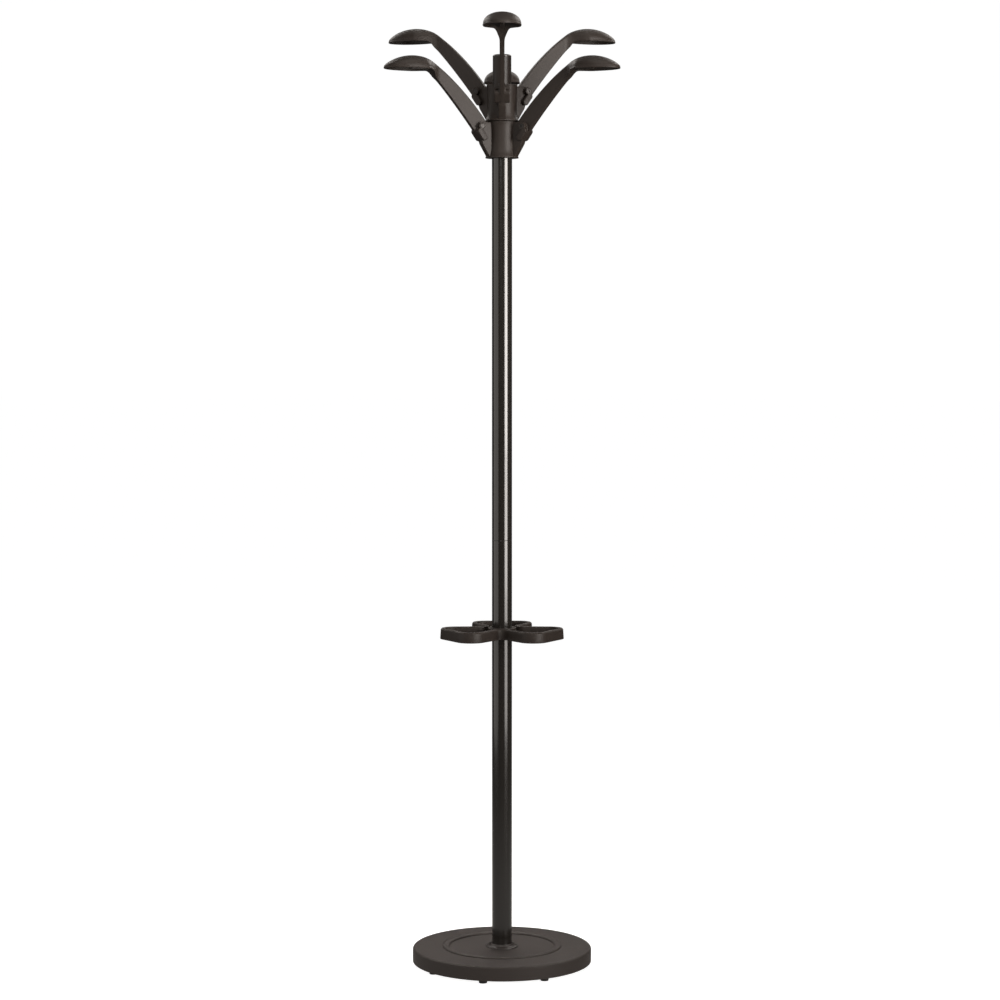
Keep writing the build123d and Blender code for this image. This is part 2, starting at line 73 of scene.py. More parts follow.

# %% [markdown]
# ## Light
# Gloss black shows only what it mirrors. A soft box on the right makes the thin bright line on the tube. It
# is split into three, because the line gets dimmer towards the floor. A broad, dim panel on the left makes
# the soft grey band beside the line. A panel overhead and a large one high in front light the caps and the
# arms, two behind the rack edge them from the back, and a narrow beam brightens the top of the base. The
# colours were matched in the plain Standard view, so it is used here.

# %% Light panels
WARM = (1.0, 0.945, 0.9)


def panel(name, place, aim, width, height, radiance, spread=180):
    """Rectangular light; its power is radiance * area * pi, so that size and brightness stay apart.

    A spread under 180 degrees gathers the same power into a beam, which is brighter along its middle."""
    data = bpy.data.lights.new(name, "AREA")
    data.shape, data.size, data.size_y = "RECTANGLE", width, height
    data.energy = radiance * width * height * math.pi
    data.color = WARM
    data.spread = math.radians(spread)
    light = bpy.data.objects.new(name, data)
    light.location = place
    light.rotation_euler = (Vector(place) - Vector(aim)).to_track_quat("Z", "Y").to_euler()
    bpy.context.scene.collection.objects.link(light)


def around(bearing, distance, height):
    """Point at a bearing from the camera's side (positive to the right), a distance and a height."""
    turn = math.radians(bearing)
    return (distance * math.sin(turn), -distance * math.cos(turn), height)


KEY_BEARING, KEY_DISTANCE, KEY_WIDTH, KEY_SPREAD = 48, 2.6, 1.65, 70
# Each part of the key light: its name, the height of its middle, its own height and its radiance.
KEY_PARTS = [
    ("key_light", 1.8, 1.9, 2.4),
    ("key_light_low", 0.64, 0.4, 1.7),
    ("key_light_foot", 0.24, 0.38, 0.9),
]
for name, middle, height, radiance in KEY_PARTS:
    place = around(KEY_BEARING, KEY_DISTANCE, middle)
    panel(name, place, (0, 0, middle), KEY_WIDTH, height, radiance, KEY_SPREAD)
panel("left_light", around(-76, 2.6, 1.3), (0, 0, 1.3), 3.4, 3.0, 1.1)
panel("top_light", (0.2, -0.6, 3.4), (0, 0, 1.2), 2.0, 2.0, 1.6)
panel("front_light", around(-12, 6.5, 3.3), (0, 0, 1.0), 2.6, 2.0, 7.0)
for side, bearing in {"right": 142, "left": -142}.items():
    panel(f"back_{side}_light", around(bearing, 2.8, 3.1), (0, 0, 1.3), 1.8, 1.4, 4.5)
panel("base_light", (0.0, 1.1, 2.6), (0, 0, 0.04), 0.8, 0.8, 1.2, spread=38)
bpy.context.scene.view_settings.view_transform = "Standard"

# %% [markdown]
# ## Shader helpers
# A finish is easier to read as a formula than as a tangle of nodes. `Signal` wraps one output socket, and
# its operators add the Math nodes. `Finish.node` adds any other node: its settings come first, then
# its sockets. Numbers that are the same everywhere are set on the shader itself.

# %% Signals and finishes
class Signal:
    """One output socket. Sums and products of signals and numbers add Math nodes."""

    def __init__(self, socket):
        self.socket = socket

    def math(self, operation, first, second):
        tree = self.socket.id_data
        return Finish.add(tree, "ShaderNodeMath", {"operation": operation}, {0: first, 1: second})

    def __add__(self, other):
        return self.math("ADD", self, other)

    def __radd__(self, other):
        return self.math("ADD", other, self)

    def __sub__(self, other):
        return self.math("SUBTRACT", self, other)

    def __rsub__(self, other):
        return self.math("SUBTRACT", other, self)

    def __mul__(self, other):
        return self.math("MULTIPLY", self, other)

    def __rmul__(self, other):
        return self.math("MULTIPLY", other, self)


class Finish:
    """A material with a Principled shader; constants are set by socket name on the shader."""

    def __init__(self, name, **constants):
        self.material = bpy.data.materials.new(name)
        self.material.use_nodes = True
        self.tree = self.material.node_tree
        self.shader = self.tree.nodes["Principled BSDF"]
        for socket, value in constants.items():
            self.shader.inputs[socket.replace("_", " ")].default_value = value
        self.place = self.node("ShaderNodeTexCoord", out="Object")

    @staticmethod
    def add(tree, kind, settings=None, inputs=None, out=0):
        """Adds a node: its settings first, then the values or links of its sockets."""
        node = tree.nodes.new(kind)
        for key, value in (settings or {}).items():
            setattr(node, key, value)
        for key, value in (inputs or {}).items():
            if isinstance(value, Signal):
                tree.links.new(value.socket, node.inputs[key])
            else:
                node.inputs[key].default_value = value
        return Signal(node.outputs[out])

    def node(self, kind, settings=None, inputs=None, out=0):
        return Finish.add(self.tree, kind, settings, inputs, out)

    def noise(self, scale, detail=2.0, roughness=0.5):
        """Noise from 0 to 1 with about `scale` cells per metre."""
        inputs = {"Vector": self.place, "Scale": scale, "Detail": detail, "Roughness": roughness}
        return self.node("ShaderNodeTexNoise", inputs=inputs)

    def ramp(self, value, low, high):
        """0 below low and 1 above high, with a smooth step between."""
        settings = {"interpolation_type": "SMOOTHSTEP"}
        return self.node("ShaderNodeMapRange", settings, {"Value": value, "From Min": low, "From Max": high})

    def mix(self, factor, first, second):
        """Colour between first and second by the factor."""
        inputs = {0: factor, 6: first, 7: second}
        return self.node("ShaderNodeMix", {"data_type": "RGBA"}, inputs, out=2)

    def bump(self, height, depth):
        """Normal from a height of 0 to 1 over a depth in metres."""
        return self.node("ShaderNodeBump", inputs={"Height": height, "Distance": depth, "Strength": 1.0})

    def feed(self, **signals):
        """Links signals to the shader's sockets."""
        for socket, signal in signals.items():
            self.tree.links.new(signal.socket, self.shader.inputs[socket.replace("_", " ")])
        return self.material


def shade(red, green, blue):
    """Linear colour from the 0 to 255 values of a screen colour."""
    part = np.array([red, green, blue]) / 255
    linear = np.where(part <= 0.04045, part / 12.92, ((part + 0.055) / 1.055) ** 2.4)
    return (*[float(value) for value in linear], 1.0)


def grey(value):
    """Neutral linear colour."""
    return (value, value, value, 1.0)


print("shader helpers are ready")

# %% [markdown]
# ## Surroundings
# The floor is a wide pale disc. Far from the rack it turns into plain white light, so that no horizon
# shows. Floor and sky are white to the camera, but dim to everything else: a black tube in a white room
# would turn grey. Only the floor close to the base sends some soft light up, to the rims of the caps and
# the undersides.

# %% Sky and floor
world = bpy.data.worlds.new("studio")
world.use_nodes = True
bpy.context.scene.world = world
sky = world.node_tree.nodes["Background"]
ray = Finish.add(world.node_tree, "ShaderNodeLightPath", out="Is Camera Ray")
SKY_SEEN, SKY_DIM = 0.96, 0.045
brightness = ray * SKY_SEEN + SKY_DIM
world.node_tree.links.new(brightness.socket, sky.inputs["Strength"])
sky.inputs["Color"].default_value = grey(1.0)

FLOOR_RADIUS = 40.0
bpy.ops.mesh.primitive_circle_add(vertices=128, radius=FLOOR_RADIUS, fill_type="NGON")
floor = bpy.context.object
floor.name = "floor"
pale = Finish("pale_floor", Roughness=0.9, Specular_IOR_Level=0.0, Emission_Strength=1.0)
distance = pale.node("ShaderNodeVectorMath", {"operation": "LENGTH"}, {0: pale.place}, out="Value")
far_floor = pale.ramp(distance, 1.0, 5.0)
near_floor = 1 - pale.ramp(distance, 0.3, 2.4)
seen = pale.node("ShaderNodeLightPath", out="Is Camera Ray")
glow_seen = pale.mix(far_floor, grey(0.9), grey(1.0))
glow_unseen = pale.mix(near_floor, grey(0.03), (0.4, 0.38, 0.36, 1.0))
floor.data.materials.append(
    pale.feed(
        Base_Color=pale.mix(far_floor * seen + (1 - seen), grey(0.42), grey(0.05)),
        Emission_Color=pale.mix(seen, glow_unseen, glow_seen),
        Roughness=pale.noise(60.0) * 0.1 + 0.8,
    )
)
print("floor", FLOOR_RADIUS, "m")

# %% [markdown]
# ## Finishes
# The arms, hubs and umbrella holder are one satin moulded plastic: a warm, dark grey-brown with a fine
# spark-eroded grain. The grain is noise a third of a millimetre across as a bump of a few hundredths.
# A slower noise shifts colour and roughness a little, as moulding does. The base, the collar, the bearing
# parts, the feet and the post's satin lacquer follow the same recipe with other numbers.

# %% Moulded plastics
DRIFT = 0.12


def moulded(name, colour, roughness, grain, depth, specular):
    """Moulded plastic: fine grain in the normal, slow drift in colour and roughness.

    The grain is in cells per metre and its depth in metres."""
    finish = Finish(name, Specular_IOR_Level=specular)
    slow = finish.noise(9.0, 3.0)
    fine = finish.noise(grain, 2.0, 0.6)
    darker = tuple(channel * (1 - DRIFT) for channel in colour[:3]) + (1.0,)
    lighter = tuple(channel * (1 + DRIFT) for channel in colour[:3]) + (1.0,)
    speck = finish.mix(fine, darker, lighter)
    tone = finish.mix(slow * 0.5, speck, colour)
    return finish.feed(
        Base_Color=tone,
        Roughness=slow * 0.08 + fine * 0.05 + (roughness - 0.065),
        Normal=finish.bump(fine, depth),
    )


MOULDED = {
    "satin_plastic": (shade(38, 32, 28), 0.5, 2600.0, 0.00003, 0.25),
    "base_plastic": (shade(44, 38, 35), 0.62, 1900.0, 0.00008, 0.35),
    "collar_plastic": (shade(42, 37, 34), 0.38, 700.0, 0.00001, 0.5),
    "bearing_plastic": (shade(205, 201, 192), 0.5, 900.0, 0.00003, 0.5),
    "rubber": (shade(38, 37, 37), 0.8, 1500.0, 0.00006, 0.5),
    "satin_black_lacquer": (shade(32, 27, 24), 0.38, 1100.0, 0.00002, 0.24),
}
FINISHES = {name: moulded(name, *values) for name, values in MOULDED.items()}
print(len(FINISHES), "moulded finishes")

# %% [markdown]
# The tubes are steel with a thick gloss lacquer. Such a coat is mirror-smooth up close but has a faint
# waviness that blurs the edges of reflections, so the bump is slow and very shallow.

# %% Lacquer and metals
def lacquered():
    """Black gloss lacquer with a faint orange peel and a little dust in its roughness."""
    finish = Finish("gloss_black_lacquer", Coat_Weight=0.35, Coat_Roughness=0.06)
    peel = finish.noise(160.0, 1.0)
    dust = finish.noise(900.0, 3.0, 0.7)
    smear = finish.noise(14.0, 2.0)
    return finish.feed(
        Base_Color=finish.mix(dust, shade(24, 22, 20), shade(34, 31, 28)),
        Roughness=smear * 0.05 + dust * 0.02 + 0.12,
        Normal=finish.bump(peel, 0.000005),
    )


def plated():
    """Zinc-plated steel: spangled roughness and a faint blue-yellow drift."""
    finish = Finish("zinc_steel", Metallic=1.0)
    spangle = finish.noise(420.0, 3.0, 0.6)
    drift = finish.noise(30.0, 2.0)
    return finish.feed(
        Base_Color=finish.mix(drift, shade(186, 190, 196), shade(202, 196, 180)),
        Roughness=spangle * 0.2 + 0.22,
        Normal=finish.bump(spangle, 0.00002),
    )


def blackened():
    """Black-oxide screw steel: dark metal, rubbed a little lighter in specks."""
    finish = Finish("black_screw_steel", Metallic=0.7)
    rub = finish.noise(1200.0, 3.0, 0.65)
    worn = finish.ramp(rub, 0.55, 0.8)
    return finish.feed(
        Base_Color=finish.mix(worn, shade(40, 38, 37), shade(96, 92, 88)),
        Roughness=rub * 0.2 + 0.28,
        Normal=finish.bump(rub, 0.00003),
    )


def cast_concrete():
    """Cast filling of the base: sand grains, pores and slow patches."""
    finish = Finish("concrete", Specular_IOR_Level=0.3)
    sand = finish.noise(700.0, 4.0, 0.7)
    patch = finish.noise(18.0, 3.0)
    pores = finish.ramp(finish.noise(160.0, 2.0), 0.62, 0.7)
    return finish.feed(
        Base_Color=finish.mix(patch, shade(150, 147, 141), shade(178, 174, 166)),
        Roughness=sand * 0.15 + 0.78,
        Normal=finish.bump(sand - pores * 0.8, 0.0003),
    )


FINISHES |= {
    "gloss_black_lacquer": lacquered(),
    "zinc_steel": plated(),
    "black_screw_steel": blackened(),
    "concrete": cast_concrete(),
}
print(len(FINISHES), "finishes")

# %% [markdown]
# The record says which finish each CAD node has. Every node gets it here, also those inside the rack. Only
# the post above the head looks duller than its slot's gloss, so it gets the satin lacquer.

# %% Dress the CAD nodes
slot_of = {part["node"]: part["material_slot"] for part in frame["record"]["subparts"]}
for name, node in nodes.items():
    node.data.materials.clear()
    node.data.materials.append(FINISHES[slot_of[name]])
nodes["head_post"].data.materials[0] = FINISHES["satin_black_lacquer"]
print("dressed", len(slot_of), "nodes")

# %% [markdown]
# ## Mesh helpers
# Every new piece is a grid of points worked out as one array: its rows are sections and its columns run
# round each section. Lengths below are in millimetres, as on a drawing, and become metres in `build`.

# %% From arrays to meshes
MM = 0.001
SHARP = math.radians(38)


def skin(grid, open_ends=True):
    """Quads over a grid of shape (rows, columns, 3) whose columns close on themselves.

    Quad (i, j) joins the points (i, j), (i, j+1), (i+1, j+1) and (i+1, j). With closed ends, one
    polygon each closes the first and the last row."""
    rows, columns = grid.shape[:2]
    index = np.arange(rows * columns).reshape(rows, columns)
    beside = np.roll(index, -1, axis=1)
    quads = np.stack([index[:-1], beside[:-1], beside[1:], index[1:]], axis=-1).reshape(-1, 4).tolist()
    if not open_ends:
        quads += [index[0, ::-1].tolist(), index[-1].tolist()]
    return grid.reshape(-1, 3), quads


def band(grid):
    """A grid that closes on itself along its rows too, such as a ring: its last row joins its first."""
    return skin(np.concatenate([grid, grid[:1]]))


def build(name, shells, finish, body, *replaced):
    """One object from several closed shells: they are joined, welded and turned outwards."""
    points, faces, start = [], [], 0
    for shell_points, shell_faces in shells:
        points.append(shell_points)
        faces += [[corner + start for corner in face] for face in shell_faces]
        start += len(shell_points)
    mesh = bpy.data.meshes.new(name)
    mesh.from_pydata((np.concatenate(points) * MM).tolist(), [], faces)
    work = bmesh.new()
    work.from_mesh(mesh)
    bmesh.ops.remove_doubles(work, verts=work.verts, dist=2e-7)
    bmesh.ops.dissolve_degenerate(work, edges=work.edges, dist=1e-7)
    bmesh.ops.recalc_face_normals(work, faces=work.faces)
    work.to_mesh(mesh)
    work.free()
    mesh.shade_smooth()
    mesh.set_sharp_from_angle(angle=SHARP)
    piece = bpy.data.objects.new(name, mesh)
    bpy.context.scene.collection.objects.link(piece)
    mesh.materials.append(FINISHES[finish])
    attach(piece, body)
    if replaced:
        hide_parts(*replaced)
    print(name, len(mesh.vertices), "points")


def rounded(corners, radii, steps=6):
    """A closed outline with each corner replaced by an arc.

    The arc leaves and joins its two sides at radius * tan(half the turn) from the corner, and its
    centre lies one radius inside. All corners are worked out together; radius 0 keeps a corner sharp."""
    corners, radii = np.asarray(corners, float), np.broadcast_to(radii, len(corners)).astype(float)
    before, after = corners - np.roll(corners, 1, axis=0), np.roll(corners, -1, axis=0) - corners
    before /= np.linalg.norm(before, axis=1, keepdims=True)
    after /= np.linalg.norm(after, axis=1, keepdims=True)
    turn = np.arctan2(before[:, 0] * after[:, 1] - before[:, 1] * after[:, 0], (before * after).sum(1))
    normal = np.stack([-before[:, 1], before[:, 0]], 1) * np.sign(turn)[:, None]
    start = corners - before * (radii * np.tan(np.abs(turn) / 2))[:, None]
    centre = start + normal * radii[:, None]
    angle = turn[:, None] * np.linspace(0, 1, steps)
    spoke = -normal[:, None] * radii[:, None, None]
    cos, sin, x, y = np.cos(angle), np.sin(angle), spoke[..., 0], spoke[..., 1]
    arc = np.stack([x * cos - y * sin, x * sin + y * cos], -1)
    return (centre[:, None] + arc).reshape(-1, 2)


def supported(profile, beside=0.7, longest=40.0):
    """A closed profile with two more points on each long side, just inside its ends, and more between.

    They keep a flat side flat: without them its shading would lean into the small arcs at its ends."""
    step = np.roll(profile, -1, axis=0) - profile
    length = np.linalg.norm(step, axis=1)
    edge = np.clip(beside / np.maximum(length, 1e-6), 0, 0.3)
    spread = np.linspace(0, 1, 2 + int(length.max() // longest))
    share = np.concatenate([0 * edge[:, None], edge[:, None] + (1 - 2 * edge[:, None]) * spread], axis=1)
    wanted = np.zeros(share.shape, bool)
    wanted[:, 0] = True
    wanted[length > 3 * beside, 1] = wanted[length > 3 * beside, -1] = True
    wanted[length > longest, 1:] = True
    return (profile[:, None] + step[:, None] * share[..., None])[wanted]


def turned(profile, around_steps=96):
    """Surface of revolution: point (radius, height) goes to radius * cos, radius * sin, height."""
    profile = supported(np.asarray(profile, float))
    turn = np.linspace(0, 2 * np.pi, around_steps, endpoint=False)
    radius, height = profile[:, 0][:, None], profile[:, 1][:, None]
    grid = np.stack([radius * np.cos(turn), radius * np.sin(turn), height + 0 * turn], -1)
    return band(grid)


def slab(outline, low, high, bevel=0.8, steps=4):
    """A flat plate in the X-Z plane between Y = low and Y = high, with its edges rolled over.

    Each section is the outline moved inwards by bevel * (1 - sin a) while Y runs bevel * (1 - cos a)
    in from the face."""
    before, after = outline - np.roll(outline, 1, axis=0), np.roll(outline, -1, axis=0) - outline
    tangent = before / (np.linalg.norm(before, axis=1, keepdims=True) + 1e-9)
    tangent += after / (np.linalg.norm(after, axis=1, keepdims=True) + 1e-9)
    tangent /= np.linalg.norm(tangent, axis=1, keepdims=True) + 1e-9
    area = (outline[:, 0] * np.roll(outline[:, 1], -1) - np.roll(outline[:, 0], -1) * outline[:, 1]).sum()
    inward = np.stack([-tangent[:, 1], tangent[:, 0]], 1) * np.sign(area)
    roll = np.linspace(0, np.pi / 2, steps)
    inset = bevel * (1 - np.sin(roll))
    depth = bevel * (1 - np.cos(roll))
    inset, side = np.concatenate([inset, inset[::-1]]), np.concatenate([low + depth, high - depth[::-1]])
    flat = outline + inward * inset[:, None, None]
    grid = np.stack([flat[..., 0], side[:, None] + 0 * flat[..., 0], flat[..., 1]], -1)
    return skin(grid, open_ends=False)


def swung(shell, degrees, height=0.0):
    """The shell turned about the Z axis and raised."""
    points, faces = shell
    turn = math.radians(degrees)
    cos, sin = math.cos(turn), math.sin(turn)
    matrix = np.array([[cos, sin, 0], [-sin, cos, 0], [0, 0, 1]])
    return points @ matrix + np.array([0, 0, height]), faces


def top(node):
    """Highest point of a CAD node in millimetres."""
    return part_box(node)[1].z / MM


def foot(node):
    """Lowest point of a CAD node in millimetres."""
    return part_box(node)[0].z / MM


print("mesh helpers are ready")

# %% [markdown]
# ## Base
# The base cover is one moulding: an upright edge with a soft round, a flat outer band, a rounded ring
# bead and a flat disc inside it. It is a profile carried round the axis. Corners get small arcs, because
# a moulded edge always catches a thin line of light.

# %% Base cover and collar
base_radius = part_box("base_cover")[1].x / MM
tube_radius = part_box("lower_tube")[1].x / MM
base_foot, collar_foot, collar_top = foot("base_cover"), foot("tube_collar"), top("tube_collar")
deck = collar_foot - 0.02
COVER_WALL, TUBE_HOLE = 2.6, 21
BEAD_RADIUS, BEAD_HALF, BEAD_HEIGHT = 107, 7, 4.0
BAND_RISE, BAND_EDGE, BAND_EDGE_RISE, RIM_RISE = 1.4, 120, 1.2, 0.1
FOOT_ROUND, RIM_ROUND, ARC_POINTS = 0.9, 4.5, 9

bead = np.linspace(0, np.pi, 15)
bead_reach = BEAD_RADIUS + BEAD_HALF * np.cos(bead)
bead_height = deck + BAND_RISE * (1 + np.cos(bead)) / 2 + BEAD_HEIGHT * np.sin(bead) ** 0.8
wall_inside = base_radius - COVER_WALL
rim_corners = [
    (wall_inside, base_foot),
    (base_radius, base_foot),
    (base_radius, deck + RIM_RISE),
    (BAND_EDGE, deck + BAND_EDGE_RISE),
]
# The outer two corners only guide the arcs of the middle two, so just those arcs are kept.
rim_arcs = rounded(rim_corners, [0, FOOT_ROUND, RIM_ROUND, 0], ARC_POINTS)[ARC_POINTS:-ARC_POINTS]
underneath = [
    (TUBE_HOLE, deck),
    (TUBE_HOLE, deck - COVER_WALL),
    (wall_inside, deck - COVER_WALL),
    (wall_inside, base_foot),
]
cover_profile = np.concatenate([rim_arcs, np.stack([bead_reach, bead_height], 1), underneath])
build("base_shell", [turned(cover_profile, 160)], "base_plastic", "stand", "base_cover")

# Bore, foot, flare and neck of the collar, measured from the tube's wall.
collar_profile = rounded(
    [
        (tube_radius + 0.08, collar_foot),
        (tube_radius + 12, collar_foot),
        (tube_radius + 11.6, collar_foot + 1.8),
        (tube_radius + 5.4, collar_foot + 3.6),
        (tube_radius + 4, collar_top),
        (tube_radius + 0.08, collar_top),
    ],
    [0.1, 0.4, 0.9, 2.4, 0.7, 0.3],
)
build("collar", [turned(collar_profile)], "collar_plastic", "stand", "tube_collar")

# %% [markdown]
# ## Tubes
# The tubes stay plain cylinders with a small round at each end, so the joint between them shows as a fine
# dark line. The post above the head is slimmer and ends in a plug with a wide chamfer.

# %% Tubes, post and plug
TUBE_WALL, TUBE_END_ROUND = 1.5, 0.5
PLUG_HEIGHT, PLUG_CHAMFER = 4, 2


def pipe(low, high):
    """Tube with its outer and inner wall joined by rounded ends."""
    inner = tube_radius - TUBE_WALL
    corners = [(inner, low), (tube_radius, low), (tube_radius, high), (inner, high)]
    return turned(rounded(corners, [0.1, TUBE_END_ROUND, TUBE_END_ROUND, 0.1], 5))


seam = top("lower_tube")
build("lower_pipe", [pipe(foot("lower_tube"), seam)], "gloss_black_lacquer", "stand", "lower_tube")
build("upper_pipe", [pipe(seam, top("upper_tube"))], "gloss_black_lacquer", "stand", "upper_tube")
plug_top, post_radius = top("post_plug"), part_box("post_plug")[1].x / MM
plug_profile = rounded(
    [
        (0, plug_top - PLUG_HEIGHT),
        (post_radius, plug_top - PLUG_HEIGHT),
        (post_radius, plug_top - PLUG_CHAMFER),
        (post_radius - PLUG_CHAMFER, plug_top),
        (0, plug_top),
    ],
    [0, 0.3, 0.5, 0.6, 0],
)
build("plug", [turned(plug_profile)], "collar_plastic", "stand", "post_plug")

# %% [markdown]
# ## Arms
# An arm is one moulding: a tall, thin blade that curves outwards and opens like a spoon into an oval cap.
# It is made as one skin. At each reach from the axis there is an upright section with the same number of
# points: a rounded box on the blade, and an arch with a rim and a hollow underneath on the cap. Between
# them the sections blend, and the plan widens from the thin blade in a soft trumpet.

# %% Side view of an arm
CROWN_REACH, CROWN_HEIGHT, CROWN_RADIUS, CROWN_SLOPE = 190.0, 182.6, 90.0, math.radians(36)
CAP_REACH, CAP_RIM, CAP_LENGTH, CAP_WIDTH = 196.5, 160.0, 50.5, 34.6
ROOT_BACK, ROOT_TOP, ROOT_FOOT, ROOT_SLOPE = 36.5, 67.8, 24.0, 18.0 / 13.5
THROAT, TRUMPET, BLADE_HALF = 134.0, 42.0, 4.5
BELLY_END, BELLY_MIDDLE, BELLY_START = (152.0, 152.1), (101.0, 96.6), (42.6, ROOT_FOOT)
RIM_DEPTH, LEVEL_START, LEVEL_END = 3.0, 144.0, 158.0


def through(first, second, third):
    """Centre and radius of the circle through three points, from two perpendicular bisectors."""
    rows = 2 * (np.array([second, third]) - np.array(first))
    squares = np.array([second, third]) ** 2 - np.array(first) ** 2
    centre = np.linalg.solve(rows, squares.sum(1))
    return centre, np.linalg.norm(centre - np.array(first))


def ease(value, low, high):
    """Smooth step: 3 t^2 - 2 t^3 of the clipped share of the way from low to high."""
    share = np.clip((value - low) / (high - low), 0, 1)
    return share * share * (3 - 2 * share)


crown_start = np.array(
    [CROWN_REACH - CROWN_RADIUS * math.sin(CROWN_SLOPE),
     CROWN_HEIGHT - CROWN_RADIUS + CROWN_RADIUS * math.cos(CROWN_SLOPE)]
)
inward = np.array([math.sin(CROWN_SLOPE), -math.cos(CROWN_SLOPE)])
chord = np.array([ROOT_BACK, ROOT_TOP]) - crown_start
back_radius = chord @ chord / (2 * inward @ chord)
back_centre = crown_start + inward * back_radius
belly_centre, belly_radius = through(BELLY_END, BELLY_MIDDLE, BELLY_START)


def half_circle(reach, middle, radius):
    """Height of a circle over its own centre, sqrt(r^2 - x^2)."""
    return np.sqrt(np.maximum(radius**2 - (reach - middle) ** 2, 0))


def back_height(reach):
    """Top edge: a wide circle up to the crown, then the crown's own circle; straight inside the hub."""
    wide = back_centre[1] + half_circle(reach, back_centre[0], back_radius)
    crown = CROWN_HEIGHT - CROWN_RADIUS + half_circle(reach, CROWN_REACH, CROWN_RADIUS)
    root = ROOT_TOP + (reach - ROOT_BACK) * ROOT_SLOPE
    return np.where(reach < ROOT_BACK, root, np.where(reach < crown_start[0], wide, crown))


def belly_height(reach):
    """Lower edge: flat root, a circle up to the throat, then level with the cap's lower rim."""
    sign = np.sign(BELLY_MIDDLE[1] - belly_centre[1])
    curve = belly_centre[1] + sign * half_circle(reach, belly_centre[0], belly_radius)
    rim = CAP_RIM - RIM_DEPTH
    level = np.minimum(np.where(reach < BELLY_START[0], ROOT_FOOT, curve), rim)
    return level + (rim - level) * ease(reach, LEVEL_START, LEVEL_END)


def ellipse(reach, inset=0.0):
    """Half-width of the cap's oval, or of one inset by a wall, at each reach."""
    share = (reach - CAP_REACH) / (CAP_LENGTH - inset)
    return (CAP_WIDTH - inset) * np.sqrt(np.clip(1 - share**2, 0, None))


def half_width(reach):
    """Plan view: the blade's half thickness opens into the cap's oval.

    The near half is a quarter oval, sqrt(1 - u^2), from the cap's middle back to the throat. A smooth
    step over the first stretch turns its blunt end into a soft trumpet."""
    back_share = np.clip((CAP_REACH - reach) / (CAP_REACH - THROAT), 0, 1)
    opened = np.sqrt(1 - back_share**2) * ease(reach, THROAT, THROAT + TRUMPET)
    near_half = BLADE_HALF + (CAP_WIDTH - BLADE_HALF) * opened
    return np.where(reach < CAP_REACH, near_half, ellipse(reach))


print("back edge radius", round(back_radius, 1), "belly radius", round(belly_radius, 1))

# %% Sections of an arm
cap_near = CAP_REACH - CAP_LENGTH * np.cos(np.linspace(0, np.pi / 2, 34))
cap_far = CAP_REACH + CAP_LENGTH * np.sin(np.linspace(0, np.pi / 2, 26))
root_part, blade_part = np.linspace(24, 44, 9), np.linspace(46, cap_near[0], 76)[:-1]
reach = np.concatenate([root_part, blade_part, cap_near, cap_far[1:]])[:, None]
back, belly, half = back_height(reach), belly_height(reach), half_width(reach)
to_cap = ease(reach, 112, 168)
EDGE_ROUND, CAP_WALL, CEILING_INSET, HOLLOW_DEPTH = 2, 3.0, 5.4, 9.0
RIB_HALF, RIB_BEVEL = 4.0, 0.8


def blended(blade, cap):
    """Points that go over from the blade's section to the cap's along the reach."""
    return blade * (1 - to_cap) + cap * to_cap


def blade_side():
    """Upper group of points on the blade: flat back, rounded edge and upright flank."""
    corner = np.linspace(0, np.pi / 2, 5)
    round_y = half - EDGE_ROUND + EDGE_ROUND * np.sin(corner)
    round_z = back - EDGE_ROUND + EDGE_ROUND * np.cos(corner)
    share = np.array([0.02, 0.08, 0.2, 0.35, 0.5, 0.65, 0.8, 0.92, 0.98, 1.0])
    flank_z = back - EDGE_ROUND + (belly - back + 2 * EDGE_ROUND) * share
    y = np.concatenate([0 * half, (half - EDGE_ROUND) * 0.6, round_y, half + 0 * share], axis=1)
    z = np.concatenate([back, back, round_z, flank_z], axis=1)
    return y, z


def cap_side(count):
    """The same points on the cap: an arch from the crown down to the rim."""
    angle = np.linspace(0, np.pi / 2, count)
    rim = belly + RIM_DEPTH
    return half * np.sin(angle), rim + (back - rim) * np.cos(angle) ** 0.92


def blade_underside():
    """Rolled lower edge and flat belly of the blade."""
    roll = np.linspace(0, np.pi / 2, 6)[1:]
    flat = np.array([0.9, 0.75, 0.5, 0.25, 0])
    y = np.concatenate([half - EDGE_ROUND + EDGE_ROUND * np.cos(roll), (half - EDGE_ROUND) * flat], axis=1)
    z = np.concatenate([belly + EDGE_ROUND - EDGE_ROUND * np.sin(roll), belly + 0 * flat], axis=1)
    return y, z


def cap_underside():
    """Small bead round the cap's rim, then its wall and the hollow inside."""
    inner, ceiling = ellipse(reach, CAP_WALL), ellipse(reach, CEILING_INSET)
    hollow = HOLLOW_DEPTH * np.clip(inner / 6, 0, 1) * ease(reach, 150, 160)
    bulge, bulge_height = np.array([0.5, 0.75, 0.55, 0.1]), np.array([2.5, 1.7, 0.9, 0.15])
    wall = np.minimum(inner, half)
    roof_y = [np.minimum(ceiling, half), ceiling * 0.8, ceiling * 0.4, 0 * half]
    roof_z = [belly + hollow * 0.75, belly + hollow, belly + hollow, belly + hollow]
    y = np.concatenate([half + bulge, wall, wall * 0.995, *roof_y], axis=1)
    z = np.concatenate([belly + bulge_height, belly, belly + 0.4, *roof_z], axis=1)
    return y, z


